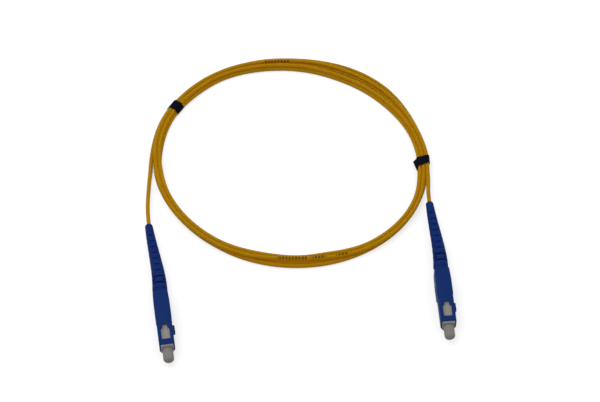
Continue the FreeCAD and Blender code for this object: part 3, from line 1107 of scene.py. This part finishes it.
@dataclass
class CouplingHousing:
    """Blue housing: nose with two T windows and a key, and a wider ribbed grip. Sizes in mm."""

    nose: tuple[float, float, float] = (7.4, 15.0, 9.0)
    upper_corner: float = 0.9
    wall: float = 0.6
    corners: CutCorners = CutCorners()
    ramp: tuple[float, float] = (3.0, 2.0)
    shoulder: float = 0.5
    proud: float = 0.2
    grip_length: float = 15.0
    grip_corner: float = 1.3
    taper_length: float = 6.2
    taper_depth: float = 0.25
    rear_round: float = 0.2
    cavity_corner: float = 0.5
    cavity_rear: float = 21.5
    socket: float = 6.82
    socket_lap: float = 0.2
    window: tuple[float, float] = (4.1, 6.3)
    window_front: float = 2.85
    window_slope: float = 0.6
    window_neck: tuple[float, float] = (2.4, 1.9)
    window_corner: float = 0.3
    key: tuple[float, float, float] = (1.3, 5.0, 2.0)
    key_front: float = 7.0
    key_lead: float = 0.6
    key_proud: float = 1.0
    grooves: int = 5
    groove: tuple[float, float, float] = (0.5, 0.55, 6.4)
    groove_corner: float = 0.1375
    groove_start: float = 0.9
    groove_pitch: float = 1.1
    edge: float = 0.1

    def build(self) -> Workpiece:
        """Model the housing.

        Returns:
            The housing on its own axis.
        """
        width, length, height = self.nose
        full = (width + 2 * self.proud, height + 2 * self.proud)
        end = (full[0] - 2 * self.taper_depth, full[1] - 2 * self.taper_depth)
        before, after = self.ramp
        low = length - before
        whole = before + self.shoulder + after
        level = height + 2 * self.proud * before / whole
        crest = height + 2 * self.proud * (before + self.shoulder) / whole
        body = Workpiece.block("coupling_housing", (width, low, height), (0, low / 2, 0))
        body.pull(REARWARD, before, (1, 1, level / height))
        body.pull(REARWARD, self.shoulder, (full[0] / width, 1, crest / level))
        body.pull(REARWARD, after, (1, 1, full[1] / crest))
        body.pull(REARWARD, self.grip_length - self.shoulder - after - self.taper_length)
        body.pull(REARWARD, self.taper_length, (end[0] / full[0], 1, end[1] / full[1]))
        body.round_edges(lambda edge: along_axis(edge) and edge.verts[0].co.z > 0, self.upper_corner)
        body.round_edges(lambda edge: along_axis(edge) and edge.verts[0].co.z < 0
                         and edge.calc_length() > self.shoulder, self.grip_corner)
        body.round_edges(rim_at(length + self.grip_length), self.rear_round, steps=3)
        body.cut(*self.corners.tools(0, -OVERSHOOT, length))
        body.combine(self.build_key(), "UNION")
        body.cut(self.build_cavity(), self.build_socket(), self.build_window(), self.build_grooves())
        return body.soften(self.edge)

    def build_key(self) -> Workpiece:
        """Key on the side of the nose, with sloped ends.

        Returns:
            The key.
        """
        depth, length, _ = self.key
        crest = self.nose[0] / 2 + self.key_proud
        middle = self.key_front + length / 2
        key = Workpiece.block("key", self.key, (crest - depth / 2, middle, 0))
        return key.resize_end(OUTWARD, (1, 1 - 2 * self.key_lead / length, 1), (0, middle, 0))

    def build_cavity(self) -> Workpiece:
        """Space for the plug frame.

        Returns:
            The cutter for it.
        """
        front = -OVERSHOOT
        width, _, height = self.nose
        size = (width - 2 * self.wall, self.cavity_rear - front, height - 2 * self.wall)
        cavity = Workpiece.block("cavity", size, (0, (front + self.cavity_rear) / 2, 0))
        cavity.round_edges(along_axis, self.cavity_corner)
        corners = self.corners.tools(self.wall, front - OVERSHOOT, self.cavity_rear + OVERSHOOT)
        return cavity.cut(*corners)

    def build_socket(self) -> Workpiece:
        """Round hole for the boot, as a cutter."""
        rear = self.nose[1] + self.grip_length + OVERSHOOT
        return Workpiece.rod("socket", self.socket, self.cavity_rear - self.socket_lap, rear)

    def build_window(self) -> Workpiece:
        """T-shaped window through top and bottom.

        Returns:
            The cutter for it.
        """
        width, length = self.window
        neck_width, neck_length = self.window_neck
        straight = length - self.window_slope
        tall = 2 * self.nose[2]
        window = Workpiece.block(
            "window", (width, straight, tall), (0, self.window_front + straight / 2, 0))
        window.pull(REARWARD, self.window_slope, (neck_width / width, 1, 1))
        window.pull(REARWARD, neck_length)
        return window.round_edges(upright, self.window_corner, steps=3)

    def build_grooves(self) -> Workpiece:
        """Finger grooves of both sides.

        Returns:
            One cutter for all of them.
        """
        side_face = self.nose[0] / 2 + self.proud
        front = self.nose[1] + self.groove_start + self.groove[1] / 2
        pattern = Workpiece.block("groove", self.groove, (side_face, front, 0))
        pattern.round_edges(along_axis, self.groove_corner, steps=2)
        rows = []
        for side in (-1, 1):
            for index in range(self.grooves):
                row = pattern.copy("groove_row")
                row.item.location = (side_face * (side - 1), index * self.groove_pitch, 0)
                rows.append(row)
        first = rows.pop()
        first.gather(rows)
        first.settle()
        bpy.data.objects.remove(pattern.item)
        return first


@dataclass
class PlugFrame:
    """Off-white frame in the housing: open sleeve in front, pockets under the windows. Sizes in mm."""

    width: float = 6.08
    height: float = 7.68
    front: float = -0.5
    rear: float = 19.0
    lead: float = 0.3
    corner: float = 0.45
    sleeve: tuple[float, float] = (5.4, 5.0)
    hole: tuple[float, float] = (2.9, 5.6)
    spring_bore: float = 5.2
    pocket: tuple[float, float, float] = (3.2, 9.55, 1.4)
    pocket_front: float = 3.5
    corners: CutCorners = CutCorners()
    inset: float = 0.66
    edge: float = 0.07

    def build(self) -> Workpiece:
        """Model the frame.

        Returns:
            The frame on its own axis.
        """
        start = self.front + self.lead
        size = (self.width, self.rear - start, self.height)
        body = Workpiece.block("plug_frame", size, (0, (start + self.rear) / 2, 0))
        slim = (1 - 2 * self.lead / self.width, 1, 1 - 2 * self.lead / self.height)
        body.pull(FORWARD, self.lead, slim)
        body.round_edges(along_axis, self.corner, steps=3)
        body.cut(*self.corners.tools(self.inset, self.front - OVERSHOOT, self.rear + OVERSHOOT))
        for level in (-1, 1):
            middle = (0, self.pocket_front + self.pocket[1] / 2, level * self.height / 2)
            body.cut(Workpiece.block("pocket", self.pocket, middle))
        body.cut(
            Workpiece.rod("sleeve", self.sleeve[0], self.front - OVERSHOOT, self.sleeve[1]),
            Workpiece.rod("hole", self.hole[0], self.sleeve[1] - LAP, self.hole[1] + LAP),
            Workpiece.rod("spring_bore", self.spring_bore, self.hole[1], self.rear + OVERSHOOT))
        return body.soften(self.edge)


@dataclass
class Boot:
    """Blue bend relief: smooth collar, long taper and slots by turns on top and on the sides, in mm."""

    front: float = 24.0
    diameter: float = 6.7
    collar: float = 32.15
    shoulder: float = 32.7
    shoulder_diameter: float = 7.4
    tip_diameter: float = 3.75
    tip_round: float = 1.2
    stations: int = 10
    crimp_bore: float = 4.74
    crimp_rear: float = 28.0
    cable_bore: float = 2.04
    bore_sides: int = 32
    core: float = 2.94
    slots: int = 17
    first_slot: float = 34.9
    slot_pitch: float = 1.75
    slot_width: float = 0.85
    slot_share: float = 0.62
    slot_depth: float = 0.6
    wide_slots: int = 3
    wide_share: float = 0.86
    edge: float = 0.08

    def build(self) -> Workpiece:
        """Model the boot.

        Returns:
            The boot on its own axis.
        """
        body = Workpiece.rod("boot", self.diameter, self.front, BOOT_LINE.start)
        bore = Workpiece.rod(
            "cable_bore", self.cable_bore, self.crimp_rear - LAP, BOOT_LINE.start, self.bore_sides)
        taper = BOOT_LINE.tip - self.shoulder
        places = [BOOT_LINE.start, self.collar]
        places += [self.shoulder + taper * index / self.stations for index in range(self.stations + 1)]
        for before, after in zip(places, places[1:]):
            scale = self.outside(after) / self.outside(before)
            aside = (BOOT_LINE.aside(before), BOOT_LINE.aside(after))
            body.pull(REARWARD, after - before, (scale, 1, scale), aside)
            bore.pull(REARWARD, after - before, aside=aside)
        bore.pull(REARWARD, OVERSHOOT)
        body.round_edges(rim_at(BOOT_LINE.tip), self.tip_round)
        crimp_bore = Workpiece.rod(
            "crimp_bore", self.crimp_bore, self.front - OVERSHOOT, self.crimp_rear)
        body.cut(self.build_slots(), crimp_bore, bore)
        return body.soften(self.edge)

    def outside(self, along: float) -> float:
        """Diameter of the boot, without its slots.

        Args:
            along: how far behind the nose face it is read.

        Returns:
            The diameter.
        """
        if along <= self.collar:
            return self.diameter
        share = (along - self.shoulder) / (BOOT_LINE.tip - self.shoulder)
        return self.shoulder_diameter + share * (self.tip_diameter - self.shoulder_diameter)

    def build_slots(self) -> Workpiece:
        """All slots as one cutter.

        Returns:
            The cutter.
        """
        pattern = Workpiece.block("slot", (1, self.slot_width, 1), (0, 0, 0))
        crest = self.shoulder_diameter / 2
        rows = []
        for index in range(self.slots):
            along = self.first_slot + index * self.slot_pitch + self.slot_width / 2
            wide = index < self.wide_slots
            share = self.wide_share if wide else self.slot_share
            floor = self.core / 2 if wide else self.outside(along) / 2 - self.slot_depth
            reach = (floor + crest) / 2
            for half in (0, 1):
                row = pattern.copy("slot_row")
                turn = math.pi * half + math.pi / 2 * (index % 2)
                row.item.scale = (share * self.outside(along), 1, crest - floor)
                row.item.rotation_euler = (0, turn, 0)
                row.item.location = (
                    BOOT_LINE.aside(along) + reach * math.sin(turn), along, reach * math.cos(turn))
                rows.append(row)
        first = rows.pop()
        for row in [*rows, first]:
            row.hold()
            row.settle()
        first.gather(rows)
        bpy.data.objects.remove(pattern.item)
        return first


@dataclass
class DustCap:
    """Grey blind cap on the ferrule, round at its closed end. Sizes in mm."""

    diameter: float = 5.1
    front: float = -7.25
    rear: float = 3.6
    end_round: float = 1.5
    end_steps: int = 8
    bore: float = 2.62
    bore_sides: int = 48
    floor: float = -2.4
    mouth: float = 0.3
    edge: float = 0.08

    def build(self) -> Workpiece:
        """Model the cap.

        Returns:
            The cap on its own axis.
        """
        body = Workpiece.rod("dust_cap", self.diameter, self.front, self.rear)
        body.round_edges(rim_at(self.front), self.end_round, self.end_steps)
        bore = Workpiece.rod(
            "bore", self.bore, self.floor, self.rear - self.mouth, self.bore_sides)
        # The flare widens at 45 degrees, from before the rim to as far past it
        length = 2 * self.mouth
        flare = (self.bore + 2 * length) / self.bore
        bore.pull(REARWARD, length, (flare, 1, flare))
        body.cut(bore)
        return body.soften(self.edge)


@dataclass
class FerruleSpring:
    """Coil spring between the ferrule's flange and the stop ring. Sizes in mm."""

    diameter: float = 4.6
    wire: float = 0.44
    front: float = 9.62
    rear: float = 15.98
    turns: int = 4
    steps: int = 40
    sides: int = 12

    def build(self) -> Workpiece:
        """Wind the spring.

        Returns:
            The spring on its own axis.
        """
        Workpiece.clear_selection()
        bpy.ops.mesh.primitive_circle_add(
            vertices=self.sides, radius=self.wire / 2, fill_type="NGON",
            location=((self.diameter - self.wire) / 2, self.front + self.wire / 2, 0))
        spring = Workpiece.take_up("ferrule_spring")
        coil = spring.item.modifiers.new("coil", "SCREW")
        coil.axis = "Y"
        coil.angle = 2 * math.pi
        coil.screw_offset = (self.rear - self.front - self.wire) / self.turns
        coil.iterations = self.turns
        coil.steps = coil.render_steps = self.steps
        coil.use_merge_vertices = True
        coil.merge_threshold = Workpiece.MERGE
        bpy.ops.object.modifier_apply(modifier=coil.name)
        spring.edit("EDGE")
        bpy.ops.mesh.select_non_manifold(
            extend=False, use_wire=False, use_multi_face=False, use_non_contiguous=False, use_verts=False)
        bpy.ops.mesh.edge_face_add()
        bpy.ops.mesh.select_all(action="SELECT")
        bpy.ops.mesh.normals_make_consistent(inside=False)
        spring.close()
        return spring.smooth()

    def mount(self, paint: PaintShop) -> None:
        """Put a spring in each connector.

        Args:
            paint: the finishes.
        """
        model = self.build()
        for side, placement in PLACEMENTS.items():
            piece = model.copy(f"ferrule_spring_{side.value}_piece").place(placement)
            paint.dress(piece, "spring_steel")
            placement.on_line(self.rear)
            placement.on_line(self.front)
            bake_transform(piece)
            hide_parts(f"ferrule_spring_{side.value}")
            LOG.info("%s: %d faces", piece.name, len(piece.data.polygons))
        bpy.data.objects.remove(model.item)


@dataclass
class Connectors:
    """Both connectors: each piece is modelled once and copied to the two ends."""

    housing: CouplingHousing = field(default_factory=CouplingHousing)
    plug_frame: PlugFrame = field(default_factory=PlugFrame)
    boot: Boot = field(default_factory=Boot)
    cap: DustCap = field(default_factory=DustCap)
    spring: FerruleSpring = field(default_factory=FerruleSpring)

    def build(self, paint: PaintShop) -> None:
        """Model, place, dress and mount all pieces.

        Args:
            paint: the finishes.
        """
        plan = (
            ("coupling_housing", self.housing.build(), "grip", "grip_{}", "grip_plastic"),
            ("plug_frame", self.plug_frame.build(), "plug_frame", "cable", "frame_plastic"),
            ("boot", self.boot.build(), "boot", "cable", "boot_rubber"),
            ("dust_cap", self.cap.build(), "dust_cap", "dust_cap_{}", "cap_plastic"),
        )
        for name, model, node, body, slot in plan:
            for side, placement in PLACEMENTS.items():
                piece = model.copy(f"{name}_{side.value}_piece").place(placement)
                paint.dress(piece, slot)
                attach(piece, body.format(side.value))
                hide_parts(f"{node}_{side.value}")
                LOG.info("%s: %d faces", piece.name, len(piece.data.polygons))
            bpy.data.objects.remove(model.item)
        self.spring.mount(paint)

    @staticmethod
    def dress_inside(paint: PaintShop) -> None:
        """Give the inner pieces, which keep their solids, their finishes.

        Args:
            paint: the finishes.
        """
        inside = {
            "ferrule": "ferrule_ceramic",
            "ferrule_flange": "plated_metal",
            "stop_ring": "plated_metal",
            "crimp_ring": "crimp_metal",
        }
        for node, slot in inside.items():
            for side in Side:
                paint.dress(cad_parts[f"{node}_{side.value}"], slot)


# Tape bands


@dataclass(frozen=True)
class Course:
    """Where the strands pass a band: their middles in metres, the way across them and the way along."""

    strands: list[Vector]
    across: Vector
    ahead: Vector

    def outermost(self, way: Vector) -> Vector:
        """Middle of the strand that lies furthest one way."""
        return max(self.strands, key=lambda strand: strand.dot(way))

    def facing(self, bearing: float) -> tuple[Vector, Vector]:
        """Ways off the strands and on round them.

        Args:
            bearing: place round the strands, from the coil's inner side over the top, in degrees.

        Returns:
            The way straight off, and the way on towards lower bearings.
        """
        angle = math.radians(bearing)
        off = self.across * math.cos(angle) + Vector((0, 0, math.sin(angle)))
        return off, self.across * math.sin(angle) - Vector((0, 0, math.cos(angle)))


@dataclass
class TapeBand:
    """Band of black tape wound tightly round the strands of the coil. Sizes in mm, turns in degrees.

    The tape's loose end lies askew as a second layer over part of the band and then leaves it as a flap.
    Its sector counts from the inner side of the coil over the top. Each of the flap's profiles is how far
    an edge is shifted along the strands, from where the flap leaves, 0, to its end, 1.
    """

    side: Side
    tilt: float
    end_tilt: float
    sector: Span
    leaves: float
    flap: float
    flap_rear: Profile = ((0.0, 0.0), (1.0, 0.0))
    flap_front: Profile = ((0.0, 0.0), (1.0, 0.0))
    width: float = 5.3
    thickness: float = 0.22
    slack: float = 0.02
    merge: float = 0.02
    corners: int = 72

    def build(self, line: Sequence[Vector], cord: PatchCord) -> bpy.types.Object:
        """Wind the band round the strands that pass its bearing.

        Args:
            line: points of the cord's middle, in metres.
            cord: the cord that it ties.

        Returns:
            The band.
        """
        course = self.strands(line, cord)
        grip = cord.diameter / 2 + self.slack
        band = self.wind(course, grip)
        loose_end = self.wind(course, grip + self.thickness + self.slack, True)
        band.gather([loose_end])
        return band.smooth().item

    def wind(self, course: Course, grip: float, loose: bool = False) -> Workpiece:
        """Lay one layer of tape round the strands.

        Args:
            course: where the strands pass.
            grip: distance of the layer from a strand's middle.
            loose: whether it is the loose end, which covers only its sector and ends in the flap.

        Returns:
            The layer.
        """
        middle = sum(course.strands, Vector()) / len(course.strands)
        Workpiece.clear_selection()
        bpy.ops.mesh.primitive_circle_add(vertices=self.corners, radius=1, fill_type="NOTHING")
        layer = Workpiece.take_up(f"tape_band_{self.side.value}_piece")
        mesh = layer.edit("VERT")
        for vertex in mesh.verts:
            bearing = math.degrees(math.atan2(vertex.co.y, vertex.co.x)) % 360
            vertex.select = loose and not self.sector[0] <= bearing <= self.sector[1]
            free = max(0.0, self.leaves - bearing) / (self.leaves - self.sector[0]) if loose else 0.0
            off, on = course.facing(self.leaves if free else bearing)
            vertex.co = course.outermost(off) + (off * grip + on * free * self.flap) * MM
            offset = (vertex.co - middle).dot(course.across)
            askew = offset * math.tan(math.radians(self.tilt))
            if loose:
                askew += max(0.0, offset) * math.tan(math.radians(self.end_tilt))
            vertex.co += course.ahead * (askew - self.width / 2 * MM)
        mesh.select_flush_mode()
        bmesh.update_edit_mesh(layer.item.data)
        bpy.ops.mesh.delete(type="VERT")
        bpy.ops.mesh.select_all(action="SELECT")
        bpy.ops.mesh.remove_doubles(threshold=self.merge * MM)
        reach = course.ahead * self.width * MM
        bpy.ops.mesh.extrude_region_move(TRANSFORM_OT_translate={"value": reach})
        if loose:
            self.point_flap(layer, course)
        bpy.ops.mesh.select_all(action="SELECT")
        bpy.ops.mesh.normals_make_consistent(inside=False)
        layer.close()
        wall = layer.item.modifiers.new("wall", "SOLIDIFY")
        wall.thickness = self.thickness * MM
        wall.offset = 1.0
        bpy.ops.object.modifier_apply(modifier=wall.name)
        return layer

    def point_flap(self, layer: Workpiece, course: Course) -> None:
        """Shift the edges of the loose end near its flap.

        Args:
            layer: the loose end, open for editing with its front edge selected.
            course: where the strands pass.
        """
        off, on = course.facing(self.leaves)
        start = course.outermost(off).dot(on)
        mesh = bmesh.from_edit_mesh(layer.item.data)
        for vertex in mesh.verts:
            reach = (vertex.co.dot(on) - start) / (self.flap * MM)
            profile = self.flap_front if vertex.select else self.flap_rear
            vertex.co += course.ahead * self.shift(profile, reach) * MM
        bmesh.update_edit_mesh(layer.item.data)

    @staticmethod
    def shift(profile: Profile, reach: float) -> float:
        """Read a profile of shifts.

        Args:
            profile: the stops, each a reach along the flap and the shift there.
            reach: where it is read, 0 where the flap leaves and 1 at its end.

        Returns:
            The shift, straight between the stops and level beyond them.
        """
        for (start, first), (end, second) in zip(profile, profile[1:]):
            if reach < end:
                return first + max(0.0, reach - start) / (end - start) * (second - first)
        return profile[-1][1]

    def strands(self, line: Sequence[Vector], cord: PatchCord) -> Course:
        """Find where the strands pass the band.

        Args:
            line: points of the cord's middle, in metres.
            cord: the cord that it ties.

        Returns:
            The strands' course.
        """
        centre = Vector((*cord.middle, 0)) * MM
        angle = math.radians(BAND_BEARINGS[self.side])
        out = Vector((math.cos(angle), math.sin(angle), 0))
        cut = Vector((-out.y, out.x, 0))
        found = []
        courses = []
        for first, second in zip(line, line[1:]):
            before, after = (first - centre).dot(cut), (second - centre).dot(cut)
            if before * after <= 0 < (first - centre).dot(out):
                found.append(first.lerp(second, before / (before - after)))
                courses.append((second - first).normalized())
        course = sum(courses, Vector())
        ahead = Vector((course.x, course.y, 0)).normalized()
        return Course(found, Vector((ahead.y, -ahead.x, 0)), ahead)


TAPE_BANDS = (
    TapeBand(Side.LEFT, tilt=0.0, end_tilt=3.0, sector=(25.0, 150.0), leaves=40.0, flap=0.3),
    TapeBand(
        Side.RIGHT, tilt=8.0, end_tilt=10.0, sector=(0.0, 95.0), leaves=48.0, flap=2.6, width=4.7,
        flap_rear=((0.0, 0.0), (1.0, 0.5)),
        flap_front=((-0.9, 0.0), (-0.02, 0.6), (0.2, 3.3), (1.0, -3.8))),
)


# Assembly


def lay_cord(paint: PaintShop) -> None:
    """Args:
        paint: the finishes.
    """
    cord = PatchCord()
    piece = cord.build()
    line = cord.line(piece)
    cord.thicken(piece)
    paint.dress(piece, "cable_jacket")
    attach(piece, "cable")
    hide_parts("cable_coil", "cable_lead_left", "cable_lead_right")
    LOG.info("%s: %d control points", piece.name, len(piece.data.splines[0].points))
    for band in TAPE_BANDS:
        tape = band.build(line, cord)
        paint.dress(tape, "tape")
        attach(tape, "cable")
        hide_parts(f"tape_band_{band.side.value}")
        LOG.info("%s: %d faces", tape.name, len(tape.data.polygons))
    PLACEMENTS[Side.LEFT].on_line(BOOT_LINE.tip)


def main() -> None:
    """Build the studio, the cord and the connectors."""
    logging.basicConfig(level=logging.INFO, format="%(name)s: %(message)s")
    Workpiece.clear_selection()
    Studio().build()
    paint = PaintShop(Palette())
    lay_cord(paint)
    connectors = Connectors()
    connectors.build(paint)
    connectors.dress_inside(paint)


if __name__ == "__main__":
    main()
